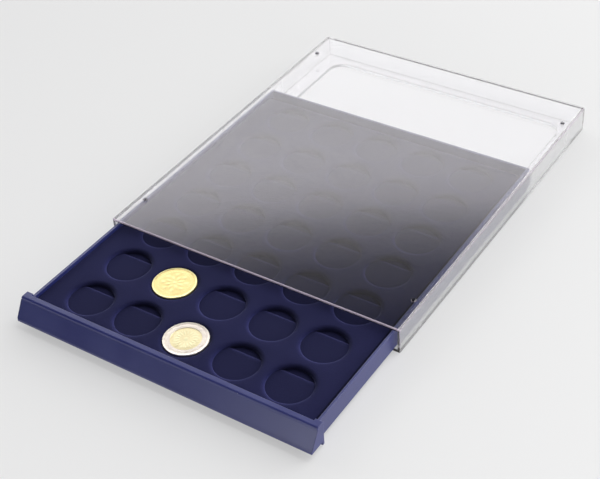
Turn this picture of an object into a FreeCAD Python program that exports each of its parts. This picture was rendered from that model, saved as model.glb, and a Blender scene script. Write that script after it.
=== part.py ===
"""Coin collector cabinet: a clear housing with one flat drawer, a flocked coin tray and two coins.

Frame: +X to the right, +Y from the drawer front to the back wall, +Z up, millimetres.
The origin is under the middle of the whole object, on the surface that it stands on, with
the drawer pulled out by `drawer_out`.

Every driving size is a cell of the sheet "Sizes". Each piece is an object of its own, drawn
in its own frame, and is put in its place by expressions on the same cells.
"""
import FreeCAD, Part
import math
import os
import Sketcher
from FreeCAD import Vector

DOC = FreeCAD.newDocument("coin_cabinet")
SHEET = DOC.addObject("Spreadsheet::Sheet", "Sizes")

SIZES = {
    # clear housing
    "housing_width": 236,
    "housing_depth": 292,
    "housing_height": 20,
    "top_wall": 2,
    "side_wall": 2,
    "back_wall": 2,
    "rail_thick": 2.5,
    "side_rail": 14,
    "front_rail": 14,
    "rear_rail": 10,
    "window_radius": 12,
    "housing_corner": 1.5,
    # stacking pips on the lid and the sockets under the rails
    "pip_radius": 1.5,
    "pip_height": 0.8,
    "pip_from_side": 6.5,
    "pip_from_front": 29.5,
    "pip_from_back": 28.8,
    "socket_play": 0.2,
    # how the drawer runs in the housing
    "drawer_out": 90,
    "side_gap": 2,
    "top_gap": 0.6,
    "rail_gap": 0.3,
    "rear_gap": 0.4,
    # drawer
    "drawer_wall": 2,
    "drawer_floor": 1.5,
    "heel_length": 6,
    "heel_height": 4,
    "front_inset": 0.5,
    "plate_thick": 2,
    "foot_gap": 1,
    "tray_reach": 1.8,
    "ledge_depth": 6.5,
    "ledge_edge": 1.9,
    "ledge_round": 1.5,
    "grip_depth": 14,
    "grip_wall": 2,
    "grip_ledge_wall": 2.6,
    "grip_clearance": 3.9,
    "grip_toe": 1.6,
    "face_round": 2,
    "toe_round": 0.5,
    # flocked tray
    "tray_drop": 2.9,
    "tray_gap": 0.3,
    "tray_corner": 2,
    "tray_margin": 20,
    "sheet_thick": 1,
    "pitch_across": 40,
    "pitch_along": 40.2,
    "columns": 5,
    "recess_radius": 15.6,
    "recess_flare": 0.7,
    "recess_depth": 2,
    "tip_line": 9,
    "tip_depth": 1.5,
    # coins
    "coin_radius": 15.4,
    "coin_thick": 2.4,
    "coin_rim": 1.1,
    "coin_relief": 0.25,
    "core_radius": 10.5,
}

for row, (alias, value) in enumerate(SIZES.items(), start=1):
    SHEET.set(f"A{row}", alias)
    SHEET.set(f"B{row}", str(value))
    SHEET.setAlias(f"B{row}", alias)
DOC.recompute()


def sized(text):
    """An expression in which each size's name is written as its cell in the sheet."""
    words = []
    for word in text.replace("(", "( ").replace(")", " )").split():
        words.append(f"Sizes.{word}" if word in SIZES else word)
    return " ".join(words)


# Places that several pieces share, each worked out from the cells.
FRONT_EDGE = "( drawer_out + grip_depth - housing_depth ) / 2"
BODY_WIDTH = "( housing_width - 2 * side_wall - 2 * side_gap )"
BODY_LENGTH = "( housing_depth - back_wall - rear_gap )"
BODY_BOTTOM = "( rail_thick + rail_gap )"
BODY_TOP = "( housing_height - top_wall - top_gap )"
TRAY_BOTTOM = f"( {BODY_BOTTOM} + drawer_floor )"
TRAY_TOP = f"( {BODY_TOP} - tray_drop )"
TRAY_HEIGHT = f"( {TRAY_TOP} - {TRAY_BOTTOM} )"
TRAY_WIDTH = f"( {BODY_WIDTH} - 2 * drawer_wall - 2 * tray_gap )"
TRAY_ROOM = f"( {BODY_LENGTH} - drawer_wall - heel_length - tray_gap )"
ROWS = f"( floor( ( {TRAY_ROOM} - 2 * tray_margin ) / pitch_along ) + 1 )"
FIRST_ROW = "( tray_reach + tray_margin )"
TRAY_LENGTH = f"( {FIRST_ROW} + ( {ROWS} - 1 ) * pitch_along + tray_margin )"
COIN_FLOOR = f"( {TRAY_TOP} - recess_depth )"


def bind(thing, prop, text):
    """Tie one property of an object to an expression on the sheet."""
    thing.setExpression(prop, sized(text))


def new_body(label, across, along, up):
    """An empty body with its own label, its origin placed by three expressions."""
    body = DOC.addObject("PartDesign::Body", label)
    body.Label = label
    bind(body, "Placement.Base.x", across)
    bind(body, "Placement.Base.y", along)
    bind(body, "Placement.Base.z", up)
    return body


def origin_item(body, role):
    """The origin plane or axis of a body that has this role."""
    for item in body.Origin.OriginFeatures:
        if item.Role == role:
            return item
    raise ValueError(role)


def new_sketch(body, name, plane, at):
    """A sketch on an origin plane, shifted across, up and off the plane by expressions."""
    sketch = body.newObject("Sketcher::SketchObject", name)
    sketch.AttachmentSupport = [(origin_item(body, plane), "")]
    sketch.MapMode = "FlatFace"
    for axis, shift in zip("xyz", at):
        bind(sketch, f"AttachmentOffset.Base.{axis}", shift)
    return sketch


def worth(text):
    """The value of an expression on the sheet, in millimetres."""
    return float(SHEET.evalExpression(sized(text)))


def join(sketch, pairs):
    """Ends of lines and arcs made to meet: line, end, other line, other end."""
    for pair in pairs:
        sketch.addConstraint(Sketcher.Constraint("Coincident", *pair))


def tie(sketch, name, kind, first, first_end, place):
    """A named distance from the sketch's origin to a point, driven by an expression."""
    distance = Sketcher.Constraint(kind, -1, 1, first, first_end, worth(place))
    index = sketch.addConstraint(distance)
    sketch.renameConstraint(index, name)
    bind(sketch, f"Constraints.{name}", place)


def size(sketch, curve, radius):
    """The radius of a circle or an arc, driven by an expression."""
    index = sketch.addConstraint(Sketcher.Constraint("Radius", curve, worth(radius)))
    sketch.renameConstraint(index, "radius")
    bind(sketch, "Constraints.radius", radius)


def tie_all(sketch, places):
    """Both distances of several points: name, line, end, across and up."""
    for name, line, end, across, up in places:
        tie(sketch, f"{name}_across", "DistanceX", line, end, across)
        tie(sketch, f"{name}_up", "DistanceY", line, end, up)


def outline(body, name, plane, corners, at=("0", "0", "0")):
    """A closed outline of straight lines whose corners are pairs of expressions."""
    sketch = new_sketch(body, name, plane, at)
    count = len(corners)
    starts = []
    for across, up in corners:
        starts.append(Vector(worth(across), worth(up), 0))
    for index in range(count):
        sketch.addGeometry(Part.LineSegment(starts[index], starts[(index + 1) % count]), False)
    join(sketch, [(index, 2, (index + 1) % count, 1) for index in range(count)])
    tie_all(sketch, [(f"corner{index}", index, 1, *place) for index, place in enumerate(corners)])
    return sketch


def box_corners(left, right, low, high):
    """The four corners of a rectangle, anticlockwise."""
    return [(left, low), (right, low), (right, high), (left, high)]


def disc(body, name, plane, radius, at):
    """A circle round the sketch's own origin."""
    sketch = new_sketch(body, name, plane, at)
    sketch.addGeometry(Part.Circle(Vector(0, 0, 0), Vector(0, 0, 1), worth(radius)), False)
    join(sketch, [(0, 3, -1, 1)])
    size(sketch, 0, radius)
    return sketch


def pad(body, name, sketch, length, symmetric=False, reverse=False):
    """Material added along the sketch's normal."""
    feature = body.newObject("PartDesign::Pad", name)
    feature.Profile = sketch
    bind(feature, "Length", length)
    feature.Midplane = symmetric
    feature.Reversed = reverse
    DOC.recompute()
    return feature


def pocket(body, name, sketch, length, symmetric=False, reverse=False):
    """Material cut away; the cut has to take something off."""
    before = body.Shape.Volume
    feature = body.newObject("PartDesign::Pocket", name)
    feature.Profile = sketch
    bind(feature, "Length", length)
    feature.Midplane = symmetric
    feature.Reversed = reverse
    DOC.recompute()
    if body.Shape.Volume >= before:
        raise RuntimeError(f"{name} cuts nothing")
    return feature


def turned(body, name, kind, sketch):
    """A full turn of a profile about its sketch's upright axis."""
    feature = body.newObject(kind, name)
    feature.Profile = sketch
    feature.ReferenceAxis = (sketch, ["V_Axis"])
    feature.Angle = 360
    DOC.recompute()
    return feature


def grid(body, name, originals, across, columns, along, rows):
    """Copies of features on a grid: `columns` over `across`, and `rows` over `along`."""
    steps = []
    for axis, length, count in (("X_Axis", across, columns), ("Y_Axis", along, rows)):
        step = body.newObject("PartDesign::LinearPattern", f"{name}_{axis[0]}")
        step.Direction = (origin_item(body, axis), [""])
        bind(step, "Length", length)
        bind(step, "Occurrences", count)
        steps.append(step)
    feature = body.newObject("PartDesign::MultiTransform", name)
    feature.Originals = originals
    feature.Transformations = steps
    body.Tip = feature
    DOC.recompute()
    return feature


def edges_where(shape, test):
    """The names of the edges whose two ends and middle all pass a test."""
    names = []
    for index, edge in enumerate(shape.Edges, start=1):
        middle = edge.valueAt((edge.FirstParameter + edge.LastParameter) / 2)
        points = [vertex.Point for vertex in edge.Vertexes] + [middle]
        if all(test(point) for point in points):
            names.append(f"Edge{index}")
    return names


def fillet(body, name, base, edges, radius):
    """Edges of a feature rounded to a radius."""
    feature = body.newObject("PartDesign::Fillet", name)
    feature.Base = (base, edges)
    bind(feature, "Radius", radius)
    DOC.recompute()
    return feature


def near(value, text):
    """True where a coordinate is the size that an expression gives."""
    return abs(value - worth(text)) < 1e-4


# ---------------------------------------------------------------- clear housing
HALF_WIDTH = "( housing_width / 2 )"
BAY_HALF = f"( {HALF_WIDTH} - side_wall )"
WINDOW_HALF = f"( {HALF_WIDTH} - side_rail )"
PIP_ACROSS = "( housing_width - 2 * pip_from_side )"
PIP_ALONG = "( housing_depth - pip_from_front - pip_from_back )"
PIP_X = f"( 0 - {PIP_ACROSS} / 2 )"


def build_housing():
    """One clear moulding: lid, sides, back wall and a frame of rails round a window below."""
    body = new_body("housing", "0", FRONT_EDGE, "0")
    shell = outline(body, "ShellOutline", "XY_Plane",
                    box_corners(f"0 - {HALF_WIDTH}", HALF_WIDTH, "0", "housing_depth"))
    block = pad(body, "Shell", shell, "housing_height")
    corners = edges_where(block.Shape, lambda p: abs(abs(p.x) - worth(HALF_WIDTH)) < 1e-4
                          and near(p.y, "housing_depth"))
    fillet(body, "RearCorners", block, corners, "housing_corner")
    bay = outline(body, "BayOutline", "XZ_Plane",
                  box_corners(f"0 - {BAY_HALF}", BAY_HALF, "rail_thick", "housing_height - top_wall"))
    pocket(body, "DrawerBay", bay, "housing_depth - back_wall")
    window = outline(body, "WindowOutline", "XY_Plane",
                     box_corners(f"0 - {WINDOW_HALF}", WINDOW_HALF, "front_rail",
                                 "housing_depth - rear_rail"))
    opening = pocket(body, "Window", window, "rail_thick", reverse=True)
    corners = edges_where(opening.Shape, lambda p: abs(abs(p.x) - worth(WINDOW_HALF)) < 1e-4
                          and (near(p.y, "front_rail") or near(p.y, "housing_depth - rear_rail"))
                          and p.z < worth("rail_thick") + 1e-4)
    fillet(body, "WindowCorners", opening, corners, "window_radius")
    socket = disc(body, "SocketCircle", "XY_Plane", "pip_radius + socket_play",
                  (PIP_X, "pip_from_front", "0"))
    hole = pocket(body, "Socket", socket, "pip_height + socket_play", reverse=True)
    grid(body, "Sockets", [hole], PIP_ACROSS, "2", PIP_ALONG, "2")
    stud = disc(body, "PipCircle", "XY_Plane", "pip_radius",
                (PIP_X, "pip_from_front", "housing_height"))
    pip = pad(body, "Pip", stud, "pip_height")
    grid(body, "Pips", [pip], PIP_ACROSS, "2", PIP_ALONG, "2")
    return body


# ---------------------------------------------------------------- drawer
INNER_HALF = f"( {BODY_WIDTH} / 2 - drawer_wall )"
DRAWER_FRONT = f"( {FRONT_EDGE} - drawer_out )"
HOLLOW_BACK = "( 0 - tray_reach - drawer_floor )"


def front_corners():
    """The drawer front's outline, seen from its right end: plate, ledge and grip."""
    return [
        ("0", "foot_gap"),
        ("0", "housing_height"),
        ("0 - ledge_depth", "housing_height"),
        ("0 - ledge_depth", "housing_height - ledge_edge"),
        ("0 - grip_depth", "grip_clearance + grip_toe"),
        ("0 - grip_depth", "grip_clearance"),
        ("0 - plate_thick", "grip_clearance"),
        ("0 - plate_thick", "foot_gap"),
    ]


def grip_hollow_corners():
    """The space inside the grip, open below, with a wall left behind the slanted face."""
    return [
        (HOLLOW_BACK, "grip_clearance - 1"),
        (HOLLOW_BACK, "housing_height - grip_ledge_wall"),
        ("0 - ledge_depth + grip_wall", "housing_height - grip_ledge_wall"),
        ("0 - grip_depth + grip_wall", "grip_clearance + grip_toe"),
        ("0 - grip_depth + grip_wall", "grip_clearance - 1"),
    ]


def build_drawer():
    """The coloured moulding: open box, front plate down to the table, and the slanted grip."""
    body = new_body("drawer", "0", DRAWER_FRONT, "0")
    side = outline(body, "SideProfile", "YZ_Plane", [
        ("0", BODY_BOTTOM),
        (f"{BODY_LENGTH} - heel_length", BODY_BOTTOM),
        (BODY_LENGTH, f"{BODY_BOTTOM} + heel_height"),
        (BODY_LENGTH, BODY_TOP),
        ("0", BODY_TOP),
    ])
    pad(body, "Box", side, BODY_WIDTH, symmetric=True)
    front = outline(body, "FrontProfile", "YZ_Plane", front_corners())
    pad(body, "Front", front, "housing_width - 2 * front_inset", symmetric=True)
    cavity = outline(body, "CavityProfile", "YZ_Plane", [
        ("0 - tray_reach", TRAY_BOTTOM),
        (f"{BODY_LENGTH} - drawer_wall - heel_length", TRAY_BOTTOM),
        (f"{BODY_LENGTH} - drawer_wall", f"{TRAY_BOTTOM} + heel_height"),
        (f"{BODY_LENGTH} - drawer_wall", "housing_height"),
        ("0 - tray_reach", "housing_height"),
    ])
    pocket(body, "Cavity", cavity, f"2 * {INNER_HALF}", symmetric=True)
    hollow = outline(body, "GripHollowProfile", "YZ_Plane", grip_hollow_corners())
    cut = pocket(body, "GripHollow", hollow, "housing_width - 2 * front_inset - 2 * grip_wall",
                 symmetric=True)
    crease = edges_where(cut.Shape, lambda p: near(p.y, "0 - grip_depth")
                         and near(p.z, "grip_clearance + grip_toe"))
    rounded = fillet(body, "FaceFoot", cut, crease, "face_round")
    toe = edges_where(rounded.Shape, lambda p: near(p.y, "0 - grip_depth")
                      and near(p.z, "grip_clearance"))
    rounded = fillet(body, "Toe", rounded, toe, "toe_round")
    brow = edges_where(rounded.Shape, lambda p: near(p.y, "0 - ledge_depth")
                       and near(p.z, "housing_height"))
    fillet(body, "Brow", rounded, brow, "ledge_round")
    return body


# ---------------------------------------------------------------- flocked tray
COLUMN_X = "( ( 1 - columns ) * pitch_across / 2 )"
HALF_CHORD = "sqrt( recess_radius * recess_radius - tip_line * tip_line )"
EIGHTH = math.tan(math.pi / 8)


def tip_outline(body, name, at):
    """The part of a recess behind its tip line: an arc of its wall and the line."""
    sketch = new_sketch(body, name, "XY_Plane", at)
    radius = worth("recess_radius")
    chord = worth("tip_line")
    half = worth(HALF_CHORD)
    right = Vector(half, chord, 0)
    left = Vector(-half, chord, 0)
    sketch.addGeometry(Part.Arc(right, Vector(0, radius, 0), left), False)
    sketch.addGeometry(Part.LineSegment(left, right), False)
    join(sketch, [(0, 2, 1, 1), (1, 2, 0, 1), (0, 3, -1, 1)])
    size(sketch, 0, "recess_radius")
    tie(sketch, "chord_right", "DistanceY", 1, 2, "tip_line")
    tie(sketch, "chord_left", "DistanceY", 1, 1, "tip_line")
    return sketch


def cup_corners():
    """An octagon that leaves the sheet's thickness round a recess."""
    flat = "( recess_radius + recess_flare + sheet_thick )"
    part = f"( {EIGHTH:.5f} * {flat} )"
    turns = [(flat, part), (part, flat)]
    corners = [(across, up) for across, up in turns]
    corners += [(f"0 - {across}", up) for across, up in reversed(turns)]
    corners += [(f"0 - {across}", f"0 - {up}") for across, up in turns]
    corners += [(across, f"0 - {up}") for across, up in reversed(turns)]
    return corners


def build_tray():
    """A formed sheet: flat top, skirt down to the drawer floor, and a grid of coin recesses."""
    body = new_body("coin_tray", "0", f"{DRAWER_FRONT} - tray_reach + tray_gap", TRAY_BOTTOM)
    half = f"( {TRAY_WIDTH} / 2 )"
    sheet = outline(body, "SheetOutline", "XY_Plane",
                    box_corners(f"0 - {half}", half, "0", TRAY_LENGTH))
    block = pad(body, "Sheet", sheet, TRAY_HEIGHT)
    corners = edges_where(block.Shape, lambda p: abs(abs(p.x) - worth(half)) < 1e-4
                          and (abs(p.y) < 1e-4 or near(p.y, TRAY_LENGTH)))
    fillet(body, "SheetCorners", block, corners, "tray_corner")
    inside = outline(body, "InsideOutline", "XY_Plane",
                     box_corners(f"sheet_thick - {half}", f"{half} - sheet_thick", "sheet_thick",
                                 f"{TRAY_LENGTH} - sheet_thick"))
    pocket(body, "Inside", inside, f"{TRAY_HEIGHT} - sheet_thick", reverse=True)

    cup_depth = "recess_depth + tip_depth + sheet_thick"
    cup = outline(body, "CupOutline", "XY_Plane", cup_corners(),
                  at=(COLUMN_X, FIRST_ROW, f"{TRAY_HEIGHT} - ( {cup_depth} )"))
    cup_pad = pad(body, "Cup", cup, f"{cup_depth} - sheet_thick / 2")
    across = "( columns - 1 ) * pitch_across"
    along = f"( {ROWS} - 1 ) * pitch_along"
    grid(body, "Cups", [cup_pad], across, "columns", along, ROWS)

    profile = outline(body, "RecessProfile", "XZ_Plane", [
        ("0", "0 - recess_depth"), ("recess_radius", "0 - recess_depth"),
        ("recess_radius + recess_flare", "0"), ("recess_radius + recess_flare", "1"), ("0", "1"),
    ], at=(COLUMN_X, TRAY_HEIGHT, f"0 - {FIRST_ROW}"))
    recess = turned(body, "Recess", "PartDesign::Groove", profile)
    well = tip_outline(body, "TipOutline", (COLUMN_X, FIRST_ROW, TRAY_HEIGHT))
    tip_cut = pocket(body, "TipWell", well, "recess_depth + tip_depth")
    grid(body, "Recesses", [recess, tip_cut], across, "columns", along, ROWS)
    return body


# ---------------------------------------------------------------- coins
def coin_place(column, row):
    """Where the coin in this column and row lies, as three expressions."""
    across = f"{COLUMN_X} + {column - 1} * pitch_across"
    along = f"{DRAWER_FRONT} + tray_gap + tray_margin + {row - 1} * pitch_along"
    return across, along, COIN_FLOOR


def struck_disc(label, place, inner, outer, rims):
    """A coin or a part of one: a turned profile with raised rims where `rims` is true."""
    body = new_body(label, *place)
    low = "coin_relief"
    high = "coin_thick - coin_relief"
    if rims:
        corners = [(inner, low), (f"{outer} - coin_rim", low), (f"{outer} - coin_rim", "0"),
                   (outer, "0"), (outer, "coin_thick"), (f"{outer} - coin_rim", "coin_thick"),
                   (f"{outer} - coin_rim", high), (inner, high)]
    else:
        corners = box_corners(inner, outer, low, high)
    profile = outline(body, f"{label}_profile", "XZ_Plane", corners)
    turned(body, f"{label}_turned", "PartDesign::Revolution", profile)
    return body


def build_coins():
    """A plain coin, and a two-part coin whose core is pressed into its ring."""
    return [
        struck_disc("gold_coin", coin_place(2, 2), "0", "coin_radius", True),
        struck_disc("bimetal_coin_ring", coin_place(3, 1), "core_radius", "coin_radius", True),
        struck_disc("bimetal_coin_core", coin_place(3, 1), "0", "core_radius", False),
    ]


# ---------------------------------------------------------------- build, check, write
PIECES = [build_housing(), build_drawer(), build_tray()] + build_coins()
DOC.recompute()

for thing in DOC.Objects:
    if "Invalid" in thing.State or "Error" in thing.State:
        raise RuntimeError(f"{thing.Name} failed: {thing.State}")

os.makedirs("parts", exist_ok=True)
for piece in PIECES:
    shape = piece.Shape
    if shape.isNull() or not shape.isValid() or len(shape.Solids) != 1:
        raise RuntimeError(f"{piece.Label} isn't one valid solid")
    shape.exportStep(f"parts/{piece.Label}.step")
    box = shape.BoundBox
    print(f"{piece.Label:18s} {shape.Volume:10.1f} mm3  x {box.XMin:.2f}..{box.XMax:.2f}"
          f"  y {box.YMin:.2f}..{box.YMax:.2f}  z {box.ZMin:.2f}..{box.ZMax:.2f}")
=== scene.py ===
# %% [markdown]
# # A coin cabinet: clear housing, blue drawer, flocked tray, two coins
#
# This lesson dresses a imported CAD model. The frame holds one object for each moulded part,
# already in its place, in metres. Parts whose real finish needs softer edges, a formed sheet
# or struck relief are rebuilt here on the same sizes, and ride on the same moving bodies.

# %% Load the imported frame
import math
from functools import partial, reduce

import bmesh
import bpy
from mathutils import Matrix, Vector


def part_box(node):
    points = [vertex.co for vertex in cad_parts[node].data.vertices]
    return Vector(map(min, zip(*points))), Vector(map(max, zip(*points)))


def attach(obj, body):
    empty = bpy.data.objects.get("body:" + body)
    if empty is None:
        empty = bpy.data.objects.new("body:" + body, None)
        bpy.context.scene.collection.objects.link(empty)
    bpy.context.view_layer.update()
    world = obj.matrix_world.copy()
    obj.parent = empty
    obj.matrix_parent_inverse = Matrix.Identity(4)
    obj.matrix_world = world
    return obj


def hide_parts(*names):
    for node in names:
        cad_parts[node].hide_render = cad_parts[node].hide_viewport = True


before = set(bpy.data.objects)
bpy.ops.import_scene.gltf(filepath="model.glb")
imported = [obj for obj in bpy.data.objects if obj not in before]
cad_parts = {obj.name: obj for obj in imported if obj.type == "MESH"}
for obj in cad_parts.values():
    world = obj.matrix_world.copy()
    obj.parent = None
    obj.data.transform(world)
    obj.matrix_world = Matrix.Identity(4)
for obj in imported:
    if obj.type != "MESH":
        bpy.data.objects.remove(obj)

MM = 0.001
SCENE = bpy.context.scene
SCENE.view_settings.view_transform = "Standard"
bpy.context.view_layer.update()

# %% [markdown]
# ## The camera
#
# A product camera on a tall stand looks down on the open drawer from its right front corner.
# A long lens keeps the flat box nearly parallel. A Track To constraint could aim the camera,
# but two directions, its own right and its own up, say exactly how it is turned, and it looks
# along the one that is square to both.

# %% Place the camera
CAMERA_PLACE = Vector((0.40926, -0.60353, 0.57013))
CAMERA_RIGHT = Vector((0.83704, 0.54450, -0.05371))
CAMERA_UP = Vector((-0.30770, 0.54962, 0.77669))
CAMERA_LENS = 75.92
SENSOR_WIDTH = 36.0

lens = bpy.data.cameras.new("stand_camera")
lens.lens = CAMERA_LENS
lens.sensor_width = SENSOR_WIDTH
camera = bpy.data.objects.new("stand_camera", lens)
SCENE.collection.objects.link(camera)
turn = Matrix((CAMERA_RIGHT, CAMERA_UP, CAMERA_RIGHT.cross(CAMERA_UP))).transposed()
camera.matrix_world = Matrix.Translation(CAMERA_PLACE) @ turn.to_4x4()
SCENE.camera = camera
print("camera height", round(CAMERA_PLACE.z, 3), "m")

# %% [markdown]
# ## Small helpers for node trees
#
# Every finish below is a tree of nodes. One helper adds a node, sets its properties and feeds
# its inputs, each from a plain value or from another node's output, so that a finish reads
# as a short list.


# %% Helpers for nodes
def add(tree, kind, feeds=None, **settings):
    """One node; feeds maps its inputs, by name or number, to a value or an output."""
    made = tree.nodes.new(kind)
    for name, value in settings.items():
        setattr(made, name, value)
    for place, value in (feeds or {}).items():
        if isinstance(value, bpy.types.NodeSocket):
            tree.links.new(value, made.inputs[place])
        else:
            made.inputs[place].default_value = value
    return made


def math_node(tree, operation, *values):
    """The output of one Math node."""
    return add(tree, "ShaderNodeMath", dict(enumerate(values)), operation=operation).outputs[0]


def times(tree, *values):
    """The product of several values."""
    return reduce(partial(math_node, tree, "MULTIPLY"), values)


def most(tree, *values):
    """The largest of several values."""
    return reduce(partial(math_node, tree, "MAXIMUM"), values)


def place_on(tree):
    """The place on the object, in metres."""
    return add(tree, "ShaderNodeTexCoord").outputs["Object"]


def remap(tree, value, low, high, to_low=0.0, to_high=1.0):
    """A value moved from one range to another, eased at both ends and held inside it."""
    made = add(tree, "ShaderNodeMapRange", {"Value": value}, interpolation_type="SMOOTHSTEP")
    for index, number in enumerate((low, high, to_low, to_high), start=1):
        made.inputs[index].default_value = number
    return made.outputs[0]


def ramp(tree, value, stops):
    """A colour ramp through (position, grey or colour) stops."""
    made = add(tree, "ShaderNodeValToRGB", {"Fac": value})
    points = made.color_ramp.elements
    while len(points) < len(stops):
        points.new(0.5)
    for point, (place, tone) in zip(points, stops):
        point.position = place
        point.color = (*tone, 1.0) if isinstance(tone, tuple) else (tone, tone, tone, 1.0)
    return made.outputs["Color"]


def blend_colours(tree, share, first, second):
    """Two colours mixed by a share from 0 to 1."""
    made = add(tree, "ShaderNodeMix", {"Factor": share}, data_type="RGBA")
    for place, tone in ((6, first), (7, second)):
        if isinstance(tone, bpy.types.NodeSocket):
            tree.links.new(tone, made.inputs[place])
        else:
            made.inputs[place].default_value = (*tone, 1.0)
    return made.outputs[2]


# %% [markdown]
# ## Studio light
#
# The box stands on a pale sweep. A wide bright backdrop behind it ends a little above eye
# level, so a level sheet of clear plastic mirrors the backdrop at a shallow angle and the
# dark room above it at a steeper one: that gives the lid its change from milky grey to clear.
# The world carries that backdrop as a band of light over the horizon, and a faint glow in
# front, because a real backdrop as a mesh would also shade the floor. Its upper border is a
# list of heights, as parts of straight up, with the brightness that is left at each. The
# camera itself sees a plain pale tone instead.

# %% Build the world
BACKDROP_LIGHT = 3.2
BACKDROP_AIM = (-0.34, 0.94, 0.0)
BACKDROP_SPAN = (-0.1, 0.45)
BACKDROP_TOP = ((0.0, 0.93), (0.545, 0.94), (0.575, 0.985), (0.59, 0.94), (0.605, 0.78),
                (0.616, 0.54), (0.627, 0.345), (0.645, 0.155), (0.662, 0.094), (0.685, 0.021))
FRONT_LIGHT = 0.25
FRONT_SPAN = (-0.9, -0.3)
FRONT_LEAST = 0.05
PALE = (0.87, 0.87, 0.875)


def build_world():
    """A bright band behind, a dim room in front, and a plain pale look to the camera."""
    world = bpy.data.worlds.new("studio")
    world.use_nodes = True
    tree = world.node_tree
    tree.nodes.clear()
    way = add(tree, "ShaderNodeTexCoord").outputs["Generated"]
    height = add(tree, "ShaderNodeSeparateXYZ", {0: way}).outputs["Z"]
    edge = ramp(tree, height, BACKDROP_TOP)
    facing = add(tree, "ShaderNodeVectorMath", {0: way, 1: BACKDROP_AIM},
                 operation="DOT_PRODUCT").outputs["Value"]
    band = times(tree, edge, remap(tree, facing, *BACKDROP_SPAN), BACKDROP_LIGHT)
    front = remap(tree, facing, *FRONT_SPAN, 1.0, FRONT_LEAST)
    level = math_node(tree, "MULTIPLY_ADD", front, FRONT_LIGHT, band)
    seen = add(tree, "ShaderNodeLightPath").outputs["Is Camera Ray"]
    studio = add(tree, "ShaderNodeBackground", {"Strength": level})
    plain = add(tree, "ShaderNodeBackground", {"Color": (*PALE, 1.0), "Strength": 1.0})
    both = add(tree, "ShaderNodeMixShader",
               {0: seen, 1: studio.outputs[0], 2: plain.outputs[0]})
    add(tree, "ShaderNodeOutputWorld", {"Surface": both.outputs[0]})
    SCENE.world = world


build_world()
print("backdrop light", BACKDROP_LIGHT)

# %% [markdown]
# ### Softboxes
#
# A wide softbox overhead gives the general level and the soft shadow. One lamp alone would
# leave the near sides of the drawer black, so three small ones lift the rear, the front and
# the right side of the box. Each has its width in metres, its power in watts, its place and
# the point that it is turned to. The camera doesn't see them.

# %% Hang the lamps
LAMPS = {
    "overhead_softbox": (1.35, 26.6, (0.50, 1.06, 2.10), (0.05, 0.05, 0.0)),
    "back_softbox": (0.5, 2.6, (0.62, 0.95, 0.42), (0.0, -0.05, 0.0)),
    "front_softbox": (0.4, 2.85, (-0.02, -1.10, 0.14), (0.10, -0.20, 0.01)),
    "right_fill": (0.5, 3.1, (0.90, -0.25, 0.20), (0.12, 0.0, 0.01)),
}


def softbox(name, size, watts, place, aim):
    """A square softbox that shines from a place towards a point of the scene."""
    light = bpy.data.lights.new(name, "AREA")
    light.shape = "SQUARE"
    light.size = size
    light.energy = watts
    stand = bpy.data.objects.new(name, light)
    stand.location = place
    stand.rotation_euler = (Vector(aim) - Vector(place)).to_track_quat("-Z", "Y").to_euler()
    stand.visible_camera = False
    SCENE.collection.objects.link(stand)
    print(name, size, "m wide,", watts, "W")


for lamp, setting in LAMPS.items():
    softbox(lamp, *setting)


# %% [markdown]
# ## The pale floor
#
# The sweep is plain white board; it isn't part of the object. It is kept a hair below the box,
# so that the two surfaces never lie in one plane. Where the camera or a reflection looks at it,
# a share of it is a glow in its own plain tone, which keeps it even, and that share is a little
# larger where it is seen through the clear plastic.
# A board that only glows would lose the shadow of the box, and more light would bleach the box.

# %% Lay the floor
FLOOR_SIZE = 24.0
FLOOR_PLACE = (0.0, 4.0, -0.3 * MM)
FLOOR_GLOW = 0.45
FLOOR_GLOW_THROUGH = 0.56
FLOOR_TONE = (0.935, 0.935, 0.937)
BOARD_TONES = ((0.745, 0.745, 0.747), (0.775, 0.775, 0.777))


def build_floor():
    """A wide matt board that glows a little where it is looked at."""
    finish = bpy.data.materials.new("pale_board")
    finish.use_nodes = True
    tree = finish.node_tree
    board = tree.nodes["Principled BSDF"]
    board.inputs["Roughness"].default_value = 0.9
    board.inputs["Specular IOR Level"].default_value = 0.15
    tone = add(tree, "ShaderNodeTexNoise",
               {"Vector": place_on(tree), "Scale": 1.2, "Detail": 1.0})
    tree.links.new(blend_colours(tree, tone.outputs[0], *BOARD_TONES),
                   board.inputs["Base Color"])
    path = add(tree, "ShaderNodeLightPath").outputs
    looked_at = most(tree, path["Is Camera Ray"], path["Is Glossy Ray"])
    share = most(tree, times(tree, looked_at, FLOOR_GLOW),
                 times(tree, path["Is Transmission Ray"], FLOOR_GLOW_THROUGH))
    glow = add(tree, "ShaderNodeEmission", {"Color": (*FLOOR_TONE, 1.0), "Strength": 1.0})
    both = add(tree, "ShaderNodeMixShader", {0: share, 1: board.outputs[0], 2: glow.outputs[0]})
    tree.links.new(both.outputs[0], tree.nodes["Material Output"].inputs["Surface"])
    half = FLOOR_SIZE / 2
    mesh = bpy.data.meshes.new("floor")
    mesh.from_pydata([(-half, -half, 0.0), (half, -half, 0.0), (half, half, 0.0),
                      (-half, half, 0.0)], [], [(0, 1, 2, 3)])
    mesh.materials.append(finish)
    floor = bpy.data.objects.new("floor", mesh)
    floor.location = FLOOR_PLACE
    SCENE.collection.objects.link(floor)


build_floor()
print("floor", FLOOR_SIZE, "m wide")

# %% [markdown]
# ## Effects that several finishes share
#
# Moulded plastic, flock and struck metal all have a fine grain, and the box and the coins
# have hair scratches. Each effect is a node group that is built once and gives out only a
# mask, which the finish then uses for its colour, roughness or bump.


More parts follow.
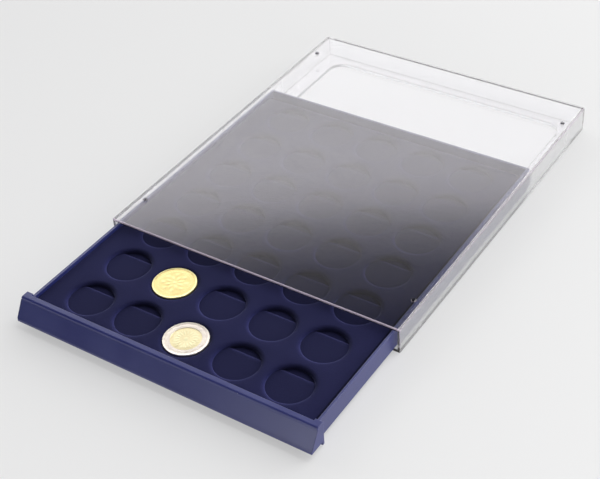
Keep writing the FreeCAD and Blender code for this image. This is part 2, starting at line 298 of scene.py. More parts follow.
# %% Shared effect: fine grain
def group_tree(name, inputs, outputs):
    """An empty shader group with float inputs, each with a default, and float outputs."""
    tree = bpy.data.node_groups.new(name, "ShaderNodeTree")
    for label, value in inputs.items():
        socket = tree.interface.new_socket(label, in_out="INPUT", socket_type="NodeSocketFloat")
        socket.default_value = value
    for label in outputs:
        tree.interface.new_socket(label, in_out="OUTPUT", socket_type="NodeSocketFloat")
    return tree, add(tree, "NodeGroupInput").outputs, add(tree, "NodeGroupOutput")


def build_fine_grain():
    """Grain at one size, and slow unevenness at another."""
    tree, given, out = group_tree("fine_grain", {"Grain Size": 0.4, "Patch Size": 30.0},
                                  ["Grain", "Patch"])
    place = place_on(tree)
    for size, detail, result in (("Grain Size", 3.0, "Grain"), ("Patch Size", 2.0, "Patch")):
        scale = math_node(tree, "DIVIDE", 1.0 / MM, given[size])
        noise = add(tree, "ShaderNodeTexNoise",
                    {"Vector": place, "Scale": scale, "Detail": detail, "Roughness": 0.55})
        tree.links.new(remap(tree, noise.outputs[0], 0.3, 0.7), out.inputs[result])
    return tree


FINE_GRAIN = build_fine_grain()
print("effect", FINE_GRAIN.name)


# %% [markdown]
# Handled plastic and metal carry hair scratches and a few specks of dust. Drawing them one by
# one would be slow, so the scratches are the borders of large stretched cells, faded out in
# patches, and a speck is the middle of a small cell that chance has picked.


# %% Shared effect: hair scratches and dust
SCRATCH_FIELDS = ((0.5, 90.0), (2.1, 120.0))
SCRATCH_STRETCH = 0.045
SCRATCH_WIDTH = 0.006
SPECK_SIZE = (0.03, 0.09)
SPECK_CHOICE = (0.93, 0.98)


def build_handling():
    """Hair scratches from stretched cells, and dust specks from scattered points."""
    tree, given, out = group_tree("handling_marks", {"Scratch Amount": 0.5, "Dust Size": 2.5},
                                  ["Scratches", "Dust"])
    place = place_on(tree)
    drift = add(tree, "ShaderNodeTexNoise", {"Vector": place, "Scale": 22.0, "Detail": 1.0})
    bent = add(tree, "ShaderNodeVectorMath",
               {0: drift.outputs["Color"], 1: (0.02, 0.02, 0.0), 2: place},
               operation="MULTIPLY_ADD")
    marks = []
    for turn_angle, spread in SCRATCH_FIELDS:
        turned = add(tree, "ShaderNodeMapping",
                     {"Vector": bent.outputs[0], "Rotation": (0.0, 0.0, turn_angle),
                      "Scale": (spread, spread * SCRATCH_STRETCH, spread)})
        cells = add(tree, "ShaderNodeTexVoronoi", {"Vector": turned.outputs[0], "Scale": 1.0},
                    feature="DISTANCE_TO_EDGE", voronoi_dimensions="2D")
        marks.append(remap(tree, cells.outputs["Distance"], 0.0, SCRATCH_WIDTH, 1.0, 0.0))
    fade = add(tree, "ShaderNodeTexNoise", {"Vector": place, "Scale": 30.0, "Detail": 2.0})
    patchy = remap(tree, fade.outputs[0], 0.5, 0.68)
    tree.links.new(times(tree, most(tree, *marks), patchy, given["Scratch Amount"]),
                   out.inputs["Scratches"])
    scale = math_node(tree, "DIVIDE", 1.0 / MM, given["Dust Size"])
    specks = add(tree, "ShaderNodeTexVoronoi", {"Vector": place, "Scale": scale})
    near = remap(tree, specks.outputs["Distance"], *SPECK_SIZE, 1.0, 0.0)
    chosen = add(tree, "ShaderNodeSeparateColor", {0: specks.outputs["Color"]})
    few = remap(tree, chosen.outputs[0], *SPECK_CHOICE)
    tree.links.new(times(tree, near, few), out.inputs["Dust"])
    return tree


HANDLING_MARKS = build_handling()
print("effect", HANDLING_MARKS.name)


# %% [markdown]
# ## Finishes
#
# Each finish starts from the Principled shader. A value that is the same all over, such as
# the index of the clear plastic, is set on the shader's own input; what changes over the
# surface comes through nodes. The plain colour and roughness that each finish starts with
# stand in for those nodes in a viewer that can't run them.


# %% Start a finish
def new_finish(name, colour, roughness, **plain):
    """A material with its Principled shader set; returns it, its tree and the shader."""
    finish = bpy.data.materials.new(name)
    finish.use_nodes = True
    finish.diffuse_color = (*colour, 1.0)
    tree = finish.node_tree
    shader = tree.nodes["Principled BSDF"]
    shader.inputs["Base Color"].default_value = (*colour, 1.0)
    shader.inputs["Roughness"].default_value = roughness
    for label, value in plain.items():
        shader.inputs[label.replace("_", " ")].default_value = value
    return finish, tree, shader


def use_group(tree, group, **values):
    """A shared effect placed in a finish with its own values."""
    made = add(tree, "ShaderNodeGroup", node_tree=group)
    for label, value in values.items():
        made.inputs[label.replace("_", " ")].default_value = value
    return made.outputs


def bump(tree, shader, height, strength, distance):
    """Relief that is too fine for the mesh, put on the shader's normal."""
    made = add(tree, "ShaderNodeBump",
               {"Height": height, "Strength": strength, "Distance": distance})
    tree.links.new(made.outputs[0], shader.inputs["Normal"])


# %% [markdown]
# ### Clear polystyrene
#
# The housing is one glass-clear moulding. Its shader refracts with the index of polystyrene.
# Light that only has to reach what lies behind it goes through a plain transparent shader
# instead, a little dimmed, which keeps the shadow of the box soft and free of noise.
#
# The moulding isn't the same all over, so it is told apart into zones by where they lie. The
# side walls are satin and a little hazy: the haze is partly their satin and partly painted
# light, and it grows to the rear as painted light. The rails under the box are dull, and they
# and the rear wall are tinted grey, a painted shade. The end of the lid, the top of the rear
# wall and the rounded edges look pale, because they are seen through their whole length or
# bend the light, so they get a milky share that paints that pale look in: a painted highlight.
# The small pips at the corners of the lid are tinted dark, a painted shade. Each zone could be
# a material of its own, but one material with masks needs no cuts in the mesh. The clear
# shader keeps its transmission, and a second, milky shader is mixed in where a mask asks for
# it, for the haze and the painted highlights.

# %% Zones of the clear housing
SATIN_WALL = 117.0 * MM
RAIL_TOP = 3.0 * MM
OUTER_SIDE, OUTER_REAR, PIP_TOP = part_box("housing")[1]
LID_TOP = PIP_TOP - 0.8 * MM
REAR_WALL = OUTER_REAR - 2.4 * MM
FRONT_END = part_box("housing")[0].y + 0.6 * MM
HAZE_SPAN = (70.0 * MM, 190.0 * MM)
# Haze that is partly the walls' satin and partly painted light; its rise to the rear is painted
# light.
HAZE_AND_PAINTED_LIGHT = (0.20, 0.34)


def clear_zones(tree):
    """Masks of the housing's zones, 1 inside each and 0 outside it; haze is a share."""
    across, along, height = add(tree, "ShaderNodeSeparateXYZ", {0: place_on(tree)}).outputs
    aside = math_node(tree, "ABSOLUTE", across)
    lid = remap(tree, height, LID_TOP - 1.3 * MM, LID_TOP - 1.1 * MM)
    lid_skin = remap(tree, height, LID_TOP - 0.5 * MM, LID_TOP - 0.3 * MM)
    zone = {
        "edge": add(tree, "ShaderNodeAttribute", attribute_name="edge").outputs["Fac"],
        "wall": remap(tree, aside, SATIN_WALL, SATIN_WALL + 0.5 * MM),
        "rail": remap(tree, height, RAIL_TOP - 0.4 * MM, RAIL_TOP, 1.0, 0.0),
        "rear": remap(tree, along, REAR_WALL, REAR_WALL + 0.5 * MM),
        "raised": remap(tree, height, LID_TOP + 0.1 * MM, LID_TOP + 0.2 * MM),
    }
    zone["hidden"] = most(tree, zone["rail"], zone["rear"])
    # Haze on the side walls, partly satin and partly painted light, growing to the rear.
    zone["haze"] = times(tree, zone["wall"], remap(tree, along, *HAZE_SPAN, *HAZE_AND_PAINTED_LIGHT))
    zone["front"] = times(tree, lid, remap(tree, along, FRONT_END, FRONT_END + 0.2 * MM,
                                           1.0, 0.0))
    zone["behind"] = times(tree, lid_skin, zone["rear"])
    zone["outline"] = times(tree, lid_skin, remap(tree, aside, OUTER_SIDE - 1.2 * MM,
                                                  OUTER_SIDE - 1.0 * MM))
    return zone


# %% [markdown]
# The tints stay close to white, because light is tinted again each time it meets the plastic.
# The pale edges are a little pink, a painted highlight, and the rails under the box and the rear
# wall are grey and the pips dark, a painted shade. Dust and the grain of the walls change the
# roughness, and the rails and the pips have hardly any gloss.


# %% Clear housing finish
CLEAR_INDEX = 1.55
CLEAR_GLOSS = (1.0, 0.94, 0.99, 1.0)
CLEAR_TONE = (0.93, 0.933, 0.943)
# Painted shade: the rails and the rear wall are tinted grey.
RAIL_AND_REAR_PAINTED_SHADE = (0.77, 0.77, 0.78)
WALL_TONE = (0.97, 0.97, 0.97)
OUTLINE_TONE = (0.72, 0.72, 0.72)
# Painted highlight: the pale edges are tinted a little pink.
EDGE_PAINTED_HIGHLIGHT = (0.95, 0.81, 0.98)
HIDDEN_EDGE_TONE = (0.78, 0.78, 0.79)
# Painted shade: the clear pips are tinted dark.
PIP_PAINTED_SHADE = (0.14, 0.14, 0.16)
CLEAR_DIM = 0.67
POLISH = 0.012
# Milky shares that paint highlights on the lid's end, the top of the rear wall and the edges.
FRONT_PAINTED_HIGHLIGHT = 0.55
BEHIND_PAINTED_HIGHLIGHT = 0.75
EDGE_PAINTED_HIGHLIGHT_SHARES = (0.4, 0.3)


def clear_tones(tree, zone):
    """The tint of each zone, laid one over another."""
    tone = CLEAR_TONE
    # The rails and the rear wall are tinted grey, a painted shade.
    for share, over in ((zone["hidden"], RAIL_AND_REAR_PAINTED_SHADE), (zone["wall"], WALL_TONE),
                        (zone["outline"], OUTLINE_TONE)):
        tone = blend_colours(tree, share, tone, over)
    edge_tone = blend_colours(tree, zone["hidden"], EDGE_PAINTED_HIGHLIGHT, HIDDEN_EDGE_TONE)
    tone = blend_colours(tree, most(tree, zone["edge"], zone["front"]), tone, edge_tone)
    # The pips are tinted dark, a painted shade.
    return blend_colours(tree, zone["raised"], tone, PIP_PAINTED_SHADE)


def clear_surface(tree, zone):
    """Colour, roughness and gloss over the housing, by the names of their inputs."""
    marks = use_group(tree, HANDLING_MARKS, Scratch_Amount=0.0, Dust_Size=9.0)
    grain = use_group(tree, FINE_GRAIN, Grain_Size=0.8, Patch_Size=2.5)
    satin = times(tree, zone["wall"], math_node(tree, "MULTIPLY_ADD", grain["Patch"], 0.04, 0.18))
    pip = times(tree, zone["raised"], math_node(tree, "SUBTRACT", 1.0, zone["edge"]))
    return {
        "Base Color": clear_tones(tree, zone),
        "Roughness": most(tree, times(tree, marks["Dust"], 0.05), satin, POLISH),
        "Specular IOR Level": math_node(tree, "MULTIPLY_ADD", most(tree, zone["rail"], pip),
                                        -0.42, 0.5),
    }


def clear_finish():
    """Clear moulded plastic: a polished lid, satin walls, dull rails, painted highlights and
    shade.
    """
    finish, tree, clear = new_finish("clear_polystyrene", CLEAR_TONE, 0.015, IOR=CLEAR_INDEX,
                                     Transmission_Weight=1.0, Specular_Tint=CLEAR_GLOSS)
    haze_and_highlight_shader = add(tree, "ShaderNodeBsdfPrincipled",
               {"IOR": CLEAR_INDEX, "Specular Tint": CLEAR_GLOSS})
    zone = clear_zones(tree)
    for label, value in clear_surface(tree, zone).items():
        for shader in (clear, haze_and_highlight_shader):
            tree.links.new(value, shader.inputs[label])
    # Painted highlights: the edges, the end of the lid and the top of the rear wall get a pale,
    # milky share.
    painted_pale_edge = times(tree, zone["edge"],
                      math_node(tree, "MULTIPLY_ADD", zone["hidden"], *EDGE_PAINTED_HIGHLIGHT_SHARES))
    haze_and_painted_highlight = most(tree, zone["haze"], times(tree, zone["front"], FRONT_PAINTED_HIGHLIGHT),
                 times(tree, zone["behind"], BEHIND_PAINTED_HIGHLIGHT), painted_pale_edge)
    haze_and_painted_highlight = times(tree, haze_and_painted_highlight, math_node(tree, "SUBTRACT", 1.0, zone["raised"]))
    body = add(tree, "ShaderNodeMixShader", {0: haze_and_painted_highlight, 1: clear.outputs[0], 2: haze_and_highlight_shader.outputs[0]})
    path = add(tree, "ShaderNodeLightPath").outputs
    through = add(tree, "ShaderNodeBsdfTransparent",
                  {"Color": (CLEAR_DIM, CLEAR_DIM, CLEAR_DIM, 1.0)})
    lit = most(tree, path["Is Shadow Ray"], path["Is Diffuse Ray"])
    both = add(tree, "ShaderNodeMixShader", {0: lit, 1: body.outputs[0], 2: through.outputs[0]})
    tree.links.new(both.outputs[0], tree.nodes["Material Output"].inputs["Surface"])
    return finish


CLEAR = clear_finish()
print("finish", CLEAR.name, "lid top at", round(LID_TOP / MM, 1), "mm")


# %% [markdown]
# ### Blue moulded plastic
#
# The drawer comes from a spark-eroded mould: a satin surface with a very fine grain that
# breaks up its reflections, slightly uneven from the flow of the plastic. One even colour and
# gloss would look like paint, so the slow patches of the grain effect vary both a little, and
# the grain itself is a bump, because it is far too fine for the mesh.


# %% Blue drawer finish
BLUE_TONES = ((0.024, 0.029, 0.150), (0.031, 0.038, 0.170))
BLUE_DUST = (0.35, 0.35, 0.4)
BLUE_ROUGHNESS = 0.31


def blue_finish():
    """Satin dark blue polystyrene."""
    finish, tree, shader = new_finish("blue_moulding", (0.03, 0.033, 0.115), 0.42, IOR=1.53,
                                      Specular_IOR_Level=0.62)
    grain = use_group(tree, FINE_GRAIN, Grain_Size=0.55, Patch_Size=38.0)
    marks = use_group(tree, HANDLING_MARKS, Scratch_Amount=0.35, Dust_Size=5.0)
    colour = blend_colours(tree, grain["Patch"], *BLUE_TONES)
    tree.links.new(blend_colours(tree, times(tree, marks["Dust"], 0.5), colour, BLUE_DUST),
                   shader.inputs["Base Color"])
    rough = math_node(tree, "MULTIPLY_ADD", grain["Patch"], 0.05, BLUE_ROUGHNESS)
    tree.links.new(math_node(tree, "MULTIPLY_ADD", marks["Scratches"], 0.1, rough),
                   shader.inputs["Roughness"])
    bump(tree, shader, grain["Grain"], 0.25, 0.03 * MM)
    return finish


BLUE = blue_finish()
print("finish", BLUE.name)


# %% [markdown]
# ### Flock
#
# Flock is short fibre shot into glue, so it has no gloss, only a faint velvet sheen at
# glancing angles, and a powdery speckle where fibres lean different ways. Light and shade are
# also painted into its colour: slopes that turn towards the light, from the back and a little
# right, are painted lighter, and slopes that turn away are painted darker. Painted shade darkens
# the flock low in the recesses, and a painted shadow darkens a strip along its right side.
# Real hairs would be millions of strands, while at this distance only their shading shows, so
# they are made by colour, sheen and bump alone.


# %% Flocked tray finish
TRAY_SIDE, _, TRAY_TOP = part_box("coin_tray")[1]
FIBRE_TONES = ((0.0060, 0.0064, 0.0268), (0.0134, 0.0139, 0.0528))
BRUSHED_TONE = (0.0114, 0.0122, 0.0508)
# Painted light and shade by slope: where the light comes from, the range of facing, and how dark
# and how light the slopes are painted.
SLOPE_LIGHT_AIM = (0.35, 0.75, 0.0)
SLOPE_LIGHT_SPAN = (-0.5, 0.7)
SLOPE_PAINTED_LIGHT = (0.64, 2.25)
# Painted shade low in the recesses.
RECESS_PAINTED_SHADE = 0.78
# Painted shadow along the tray's right side.
GAP_PAINTED_SHADOW = 0.32


def flock_finish():
    """Dark blue flock on a formed sheet."""
    finish, tree, shader = new_finish("blue_flock", (0.02, 0.021, 0.06), 0.95,
                                      Specular_IOR_Level=0.08, Sheen_Weight=0.25,
                                      Sheen_Roughness=0.45, Sheen_Tint=(0.35, 0.37, 0.75, 1.0))
    fibre = use_group(tree, FINE_GRAIN, Grain_Size=0.5, Patch_Size=26.0)
    nap = use_group(tree, FINE_GRAIN, Grain_Size=1.6, Patch_Size=70.0)
    speckle = blend_colours(tree, fibre["Grain"], *FIBRE_TONES)
    brushed = blend_colours(tree, times(tree, nap["Patch"], 0.35), speckle, BRUSHED_TONE)
    across, _, height = add(tree, "ShaderNodeSeparateXYZ", {0: place_on(tree)}).outputs
    # Painted shade: the flock is darker low in the recesses.
    painted_recess_shade = remap(tree, height, TRAY_TOP - 2.4 * MM, TRAY_TOP - 0.9 * MM, RECESS_PAINTED_SHADE, 1.0)
    # Painted shadow: a dark strip along the right side of the tray.
    painted_gap_shadow = remap(tree, across, TRAY_SIDE - 3.0 * MM, TRAY_SIDE - 2.1 * MM, 1.0, GAP_PAINTED_SHADOW)
    slope = add(tree, "ShaderNodeTexCoord").outputs["Normal"]
    lean = add(tree, "ShaderNodeVectorMath", {0: slope, 1: SLOPE_LIGHT_AIM}, operation="DOT_PRODUCT")
    # Painted light and shade: slopes facing the light are lighter, slopes facing away darker.
    painted_slope_light = remap(tree, lean.outputs["Value"], *SLOPE_LIGHT_SPAN, *SLOPE_PAINTED_LIGHT)
    shaded = add(tree, "ShaderNodeVectorMath",
                 {0: brushed, "Scale": times(tree, painted_recess_shade, painted_gap_shadow, painted_slope_light)}, operation="SCALE")
    tree.links.new(shaded.outputs[0], shader.inputs["Base Color"])
    pile = math_node(tree, "MULTIPLY_ADD", nap["Grain"], 0.5, fibre["Grain"])
    bump(tree, shader, pile, 0.55, 0.12 * MM)
    return finish


FLOCK = flock_finish()
print("finish", FLOCK.name)


# %% [markdown]
# ### Struck coin metals
#
# A struck coin is bright on its high relief and a little toned in its field. The relief's
# height is kept on the mesh as an attribute named relief, so the toning follows it.


# %% Coin finishes
COIN_ROUGHNESS = 0.32


def coin_finish(name, bright, toned):
    """One coin alloy, toned in its low parts."""
    finish, tree, shader = new_finish(name, bright, COIN_ROUGHNESS, Metallic=1.0)
    height = add(tree, "ShaderNodeAttribute", attribute_name="relief").outputs["Fac"]
    grain = use_group(tree, FINE_GRAIN, Grain_Size=0.35, Patch_Size=7.0)
    marks = use_group(tree, HANDLING_MARKS, Scratch_Amount=0.5, Dust_Size=1.6)
    shade = math_node(tree, "MULTIPLY_ADD", grain["Patch"], 0.45, height)
    colour = blend_colours(tree, remap(tree, shade, 0.1, 1.0), toned, bright)
    tree.links.new(colour, shader.inputs["Base Color"])
    rough = math_node(tree, "MULTIPLY_ADD", grain["Patch"], 0.08, COIN_ROUGHNESS)
    tree.links.new(math_node(tree, "MULTIPLY_ADD", marks["Scratches"], 0.15, rough),
                   shader.inputs["Roughness"])
    bump(tree, shader, grain["Grain"], 0.15, 0.02 * MM)
    return finish


GOLD = coin_finish("coin_gold_alloy", (1.0, 0.89, 0.45), (0.99, 0.80, 0.36))
SILVER = coin_finish("coin_silver_alloy", (0.97, 0.90, 0.81), (0.89, 0.80, 0.72))
CORE_GOLD = coin_finish("coin_core_alloy", (1.0, 0.94, 0.62), (0.99, 0.87, 0.53))
print("finishes", [finish.name for finish in bpy.data.materials])


# %% [markdown]
# ## Pieces that follow the CAD form
#
# The housing and the drawer are plain mouldings whose CAD form is right but knife-edged. They
# could be built again from boxes, but a copy keeps every size. A copy of each mesh is merged,
# its flat faces are joined again, and a small Bevel rounds the edges, which is what catches
# the light on real moulded plastic.


# %% Helpers for meshes
def show(name, mesh, finish=None):
    """A mesh made a piece of the scene, standing at the origin."""
    piece = bpy.data.objects.new(name, mesh)
    SCENE.collection.objects.link(piece)
    if finish:
        mesh.materials.clear()
        mesh.materials.append(finish)
    return piece


def frozen(piece):
    """The piece with its modifiers applied and removed."""
    depsgraph = bpy.context.evaluated_depsgraph_get()
    mesh = bpy.data.meshes.new_from_object(piece.evaluated_get(depsgraph))
    piece.modifiers.clear()
    piece.data = mesh
    return piece


def soften(piece, angle):
    """Faces shaded smooth across every edge that turns by less than the angle."""
    piece.data.polygons.foreach_set("use_smooth", [True] * len(piece.data.polygons))
    piece.data.set_sharp_from_angle(angle=math.radians(angle))


def opened(mesh):
    """A mesh opened for editing."""
    form = bmesh.new()
    form.from_mesh(mesh)
    return form


def closed(form, mesh):
    """The edited form written to a mesh."""
    form.to_mesh(mesh)
    form.free()
    return mesh


def face_up(form):
    """The faces turned so that the sheet as a whole faces up."""
    if sum((face.normal * face.calc_area() for face in form.faces), Vector()).z < 0:
        bmesh.ops.reverse_faces(form, faces=form.faces)


WELD = 0.002 * MM
NEARLY_FLAT = 0.6


def merged_copy(node, name, finish):
    """A node's mesh with its loose triangles joined into whole flat faces."""
    form = opened(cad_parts[node].data)
    bmesh.ops.remove_doubles(form, verts=form.verts, dist=WELD)
    bmesh.ops.dissolve_limit(form, angle_limit=math.radians(NEARLY_FLAT), verts=form.verts,
                             edges=form.edges)
    return show(name, closed(form, bpy.data.meshes.new(name)), finish)


FLAT_FACE = 70.0 * MM * MM


def round_edges(piece, width, angle=28.0):
    """A small even radius on every hard edge."""
    bevel = piece.modifiers.new("edge_radius", "BEVEL")
    bevel.width = width
    bevel.segments = 3
    bevel.use_clamp_overlap = False
    bevel.loop_slide = False
    bevel.limit_method = "ANGLE"
    bevel.angle_limit = math.radians(angle)
    soften(piece, angle)
    weights = piece.modifiers.new("flat_faces", "WEIGHTED_NORMAL")
    weights.weight = 100
    weights.keep_sharp = True
    return level_flats(frozen(piece))


def level_flats(piece):
    """Exact normals on the large flat faces, so that they mirror and refract evenly."""
    mesh = piece.data
    normals = [corner.vector.copy() for corner in mesh.corner_normals]
    for face in mesh.polygons:
        if face.area > FLAT_FACE:
            for corner in face.loop_indices:
                normals[corner] = face.normal
    mesh.normals_split_custom_set(normals)
    return piece


def hand_over(piece, body, slot, *nodes):
    """The finished piece rides on its body and stands for its CAD nodes."""
    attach(piece, body)
    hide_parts(*nodes)
    print(piece.name, len(piece.data.polygons), "faces")


# %% [markdown]
# The edges of the clear housing are marked for its finish: an edge bends the light so much
# that it shows as a pale line, and the finish paints that line in with a pale, milky share, a
# painted highlight. The mark is an attribute on the faces, so it needs no texture.

# %% Clear housing
HOUSING_EDGE = 0.3 * MM
NARROW = 0.4 * MM


def mark_edges(piece):
    """An attribute named edge, 1 on the rounded edges and the rails' sides, 0 on the rest."""
    marks = piece.data.attributes.new("edge", "FLOAT", "FACE")
    for face, mark in zip(piece.data.polygons, marks.data):
        leaning = max(abs(part) for part in face.normal) < 0.99
        narrow = face.area < NARROW * longest_side(piece, face)
        rail_side = face.center.z < RAIL_TOP and abs(face.normal.z) < 0.5
        mark.value = 1.0 if (leaning and narrow) or rail_side else 0.0


def longest_side(piece, face):
    """The length of a face's longest edge."""
    corners = [piece.data.vertices[index].co for index in face.vertices]
    return max((a - b).length for a, b in zip(corners, corners[1:] + corners[:1]))


housing = round_edges(merged_copy("housing", "clear_housing_shell", CLEAR), HOUSING_EDGE)
mark_edges(housing)
hand_over(housing, "housing", "clear_housing", "housing")

# %% [markdown]
# The slanted panel of the drawer's front has a fine sunk line round it. A bump would vanish
# at a low angle, so the line is cut into the copied mesh. It is cut in four steps, each given
# as how far in and how far out it goes, in millimetres.

# %% Blue drawer
DRAWER_EDGE = 0.4 * MM
DRAWER_ANGLE = 32.0
PANEL_LINE = ((0.02, 0.0), (0.2, -0.1), (0.2, 0.1), (0.15, 0.0))


def frame_panel(piece):
    """A fine line sunk round the slanted panel of the drawer's front."""
    form = opened(piece.data)
    panel = max((face for face in form.faces if face.normal.y < -0.5),
                key=lambda face: face.calc_area())
    for inward, outward in PANEL_LINE:
        bmesh.ops.inset_region(form, faces=[panel], thickness=inward * MM, depth=outward * MM,
                               use_even_offset=True)
    closed(form, piece.data)
    return piece


drawer = round_edges(frame_panel(merged_copy("drawer", "drawer_moulding", BLUE)), DRAWER_EDGE,
                     DRAWER_ANGLE)
hand_over(drawer, "drawer", "drawer_plastic", "drawer")


# %% [markdown]
# ## The flocked tray
#
# The tray is one thin sheet, formed over a mould, with the same round recess again and again.
# So a single cell is modelled, and Geometry Nodes sets it out over the tray. Each recess has
# a soft rolled rim, a steep wall and a flat floor. Behind a straight line the floor drops
# into a well: a fingertip that presses on the coin there tips it up, so that it can be held.
# The ramp into the well is a list of places along it, with how far the floor has dropped.

# %% Sizes of the tray
TRAY_LOW, TRAY_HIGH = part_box("coin_tray")
COLUMNS = 5
ROWS = 7
PITCH_ACROSS = 40.0 * MM
PITCH_ALONG = 40.2 * MM
FIRST_ROW = 21.8 * MM
WALL_RADIUS = 15.6 * MM
RECESS_DEPTH = 2.0 * MM
WELL_DEPTH = 3.5 * MM
TIP_LINE = 9.0 * MM
RAMP_REACH = 1.95 * MM
RIM_DROP = 1.75 * MM
RIM_REACH = 3.1 * MM
RIM_RADIUS = 18.68 * MM
SHEET_THICK = 0.95 * MM
STATION_ANGLE = 5.0
RAMP_FALL = ((-0.7, 0.0), (-0.4, 0.02), (-0.1, 0.09), (0.2, 0.26), (0.5, 0.54), (0.8, 0.86),
             (1.0, 1.0))
RIM_TILTS = (0.0, 22.0, 44.0, 64.0, 82.0)
FLOOR_SHARES = (0.6, 0.2, -0.2, -0.6)
CELL_WELD = 0.005 * MM
GRID_WELD = 0.02 * MM
print("tray", [round(side / MM, 1) for side in TRAY_HIGH - TRAY_LOW], "mm")


# %% [markdown]
# One cell is a net of rows across the recess, from its front to its back. Each row starts at
# the border of the cell, rolls over the rim, goes down the wall, crosses the floor and climbs
# out again. A cut through a plate would give the same hole, but with a knife edge and uneven
# faces. The rows lie closer together where the floor falls into the well.


# %% One recess cell
def stations():
    """Angles up one side of a recess, from front to back, with the floor's depth at each."""
    places = []
    for step in range(-18, 19):
        angle = math.radians(STATION_ANGLE * step)
        along = WALL_RADIUS * math.sin(angle) - TIP_LINE
        if along < -0.8 * RAMP_REACH or along > RAMP_REACH:
            places.append((angle, WELL_DEPTH if along > 0 else RECESS_DEPTH))
    for share, fall in RAMP_FALL:
        angle = math.asin((TIP_LINE + share * RAMP_REACH) / WALL_RADIUS)
        places.append((angle, RECESS_DEPTH + fall * (WELL_DEPTH - RECESS_DEPTH)))
    return sorted(places)


def edge_of_cell(angle):
    """The point on the cell's straight border that a station reaches."""
    corner = math.radians(45.0)
    if angle < -corner:
        return PITCH_ACROSS / 2 * (angle / corner + 2.0), -PITCH_ALONG / 2
    if angle > corner:
        return PITCH_ACROSS / 2 * (2.0 - angle / corner), PITCH_ALONG / 2
    return PITCH_ACROSS / 2, PITCH_ALONG / 2 * angle / corner


def cell_row(angle, depth):
    """Points across a recess at one station: border, rolled rim, wall, floor and back."""
    side = [(*edge_of_cell(angle), 0.0)]
    for tilt in RIM_TILTS:
        swing = math.radians(tilt)
        radius = RIM_RADIUS - RIM_REACH * math.sin(swing)
        side.append((radius * math.cos(angle), radius * math.sin(angle),
                     RIM_DROP * (math.cos(swing) - 1.0)))
    side.append((WALL_RADIUS * math.cos(angle), WALL_RADIUS * math.sin(angle), -depth))
    reach, along, low = side[-1]
    floor = [(reach * share, along, low) for share in FLOOR_SHARES]
    return side + floor + [(-x, y, z) for x, y, z in reversed(side)]


def build_cell():
    """A square of sheet with one recess in it, without thickness."""
    form = bmesh.new()
    rows = [[form.verts.new(point) for point in cell_row(*place)] for place in stations()]
    for near_row, far_row in zip(rows, rows[1:]):
        for index in range(len(near_row) - 1):
            form.faces.new((near_row[index], near_row[index + 1],
                            far_row[index + 1], far_row[index]))
    bmesh.ops.remove_doubles(form, verts=form.verts, dist=CELL_WELD)
    bmesh.ops.recalc_face_normals(form, faces=form.faces)
    face_up(form)
    return show("recess_cell", closed(form, bpy.data.meshes.new("recess_cell")))


cell = build_cell()
print("one cell", len(cell.data.polygons), "faces")


# %% [markdown]
# The cells are laid out by Geometry Nodes: a grid gives the points, the cell is set on each,
# and the copies are made real and welded into one sheet. Cutting the recesses out of a plate
# would leave long thin faces between them, which shade badly.

# %% Lay the cells out
def geometry_tree(name, inputs):
    """An empty Geometry Nodes tree with named inputs; returns it and their identifiers."""
    tree = bpy.data.node_groups.new(name, "GeometryNodeTree")
    places = {}
    for label, kind in inputs.items():
        socket = tree.interface.new_socket(label, in_out="INPUT", socket_type=f"NodeSocket{kind}")
        places[label] = socket.identifier
    tree.interface.new_socket("Geometry", in_out="OUTPUT", socket_type="NodeSocketGeometry")
    return tree, places


def run_tree(piece, tree, places, **values):
    """The tree run on a piece with these inputs, and its result kept as a plain mesh."""
    modifier = piece.modifiers.new(tree.name, "NODES")
    modifier.node_group = tree
    for label, value in values.items():
        modifier[places[label.replace("_", " ")]] = value
    return frozen(piece)


def recess_grid_tree():
    """A cell repeated over columns and rows and welded into one sheet."""
    tree, places = geometry_tree("recess_grid", {
        "Cell": "Object", "Columns": "Int", "Rows": "Int", "Pitch Across": "Float",
        "Pitch Along": "Float", "Centre": "Vector", "Finish": "Material"})
    given = add(tree, "NodeGroupInput").outputs
    spans = []
    for count, pitch in (("Columns", "Pitch Across"), ("Rows", "Pitch Along")):
        gaps = math_node(tree, "SUBTRACT", given[count], 1.0)
        spans.append(times(tree, gaps, given[pitch]))
    points = add(tree, "GeometryNodeMeshGrid",
                 {"Size X": spans[0], "Size Y": spans[1],
                  "Vertices X": given["Columns"], "Vertices Y": given["Rows"]})
    shape = add(tree, "GeometryNodeObjectInfo", {"Object": given["Cell"]})
    copies = add(tree, "GeometryNodeInstanceOnPoints",
                 {"Points": points.outputs["Mesh"], "Instance": shape.outputs["Geometry"]})
    real = add(tree, "GeometryNodeRealizeInstances", {0: copies.outputs[0]})
    welded = add(tree, "GeometryNodeMergeByDistance",
                 {"Geometry": real.outputs[0], "Distance": GRID_WELD})
    placed = add(tree, "GeometryNodeTransform",
                 {"Geometry": welded.outputs[0], "Translation": given["Centre"]})
    dressed = add(tree, "GeometryNodeSetMaterial",
                  {"Geometry": placed.outputs[0], "Material": given["Finish"]})
    add(tree, "NodeGroupOutput", {0: dressed.outputs[0]})
    return tree, places


TRAY_FRONT = TRAY_LOW.y + FIRST_ROW
grid_centre = (0.0, TRAY_FRONT + (ROWS - 1) * PITCH_ALONG / 2, TRAY_HIGH.z)
tray = run_tree(show("flocked_tray", bpy.data.meshes.new("flocked_tray")), *recess_grid_tree(),
                Cell=cell, Columns=COLUMNS, Rows=ROWS, Pitch_Across=PITCH_ACROSS,
                Pitch_Along=PITCH_ALONG, Centre=grid_centre, Finish=FLOCK)
bpy.data.objects.remove(cell)
print("sheet", len(tray.data.polygons), "faces")

# %% [markdown]
# A formed sheet ends in a skirt that is turned down round it, with a rolled edge on top. The
# outermost edges are pulled out to the sides and then down, their corners are rolled, and
# Solidify gives the sheet its thickness, downwards, so that its top stays in its place.

